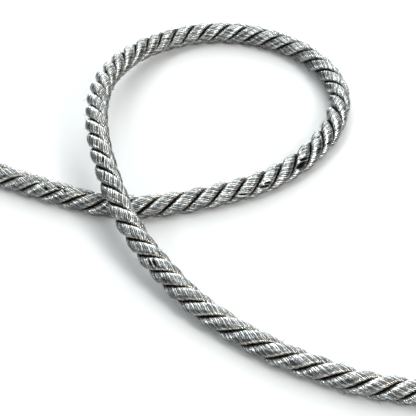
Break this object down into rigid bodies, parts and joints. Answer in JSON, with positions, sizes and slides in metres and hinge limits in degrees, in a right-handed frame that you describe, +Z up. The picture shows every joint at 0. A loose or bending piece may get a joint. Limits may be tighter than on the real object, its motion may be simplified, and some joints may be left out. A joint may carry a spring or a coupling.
{
  "type": "twisted cord trim",
  "caption": "Cut length of twisted silver trimming cord, its wrapped strands laid left-handed, lying in an open overhand loop.",
  "frame": {"origin": "centre of the loop's whole footprint, on the surface it lies on", "axes": "+Z up from the surface, +X to the right along the front, +Y away from the front"},
  "size_m": [0.1644, 0.185, 0.0192],
  "materials": {
    "silver_thread": "metallic wrapped thread, satin"
  },
  "bodies": {
    "root": {"cord": "silver_thread"}
  },
  "joints": []
}
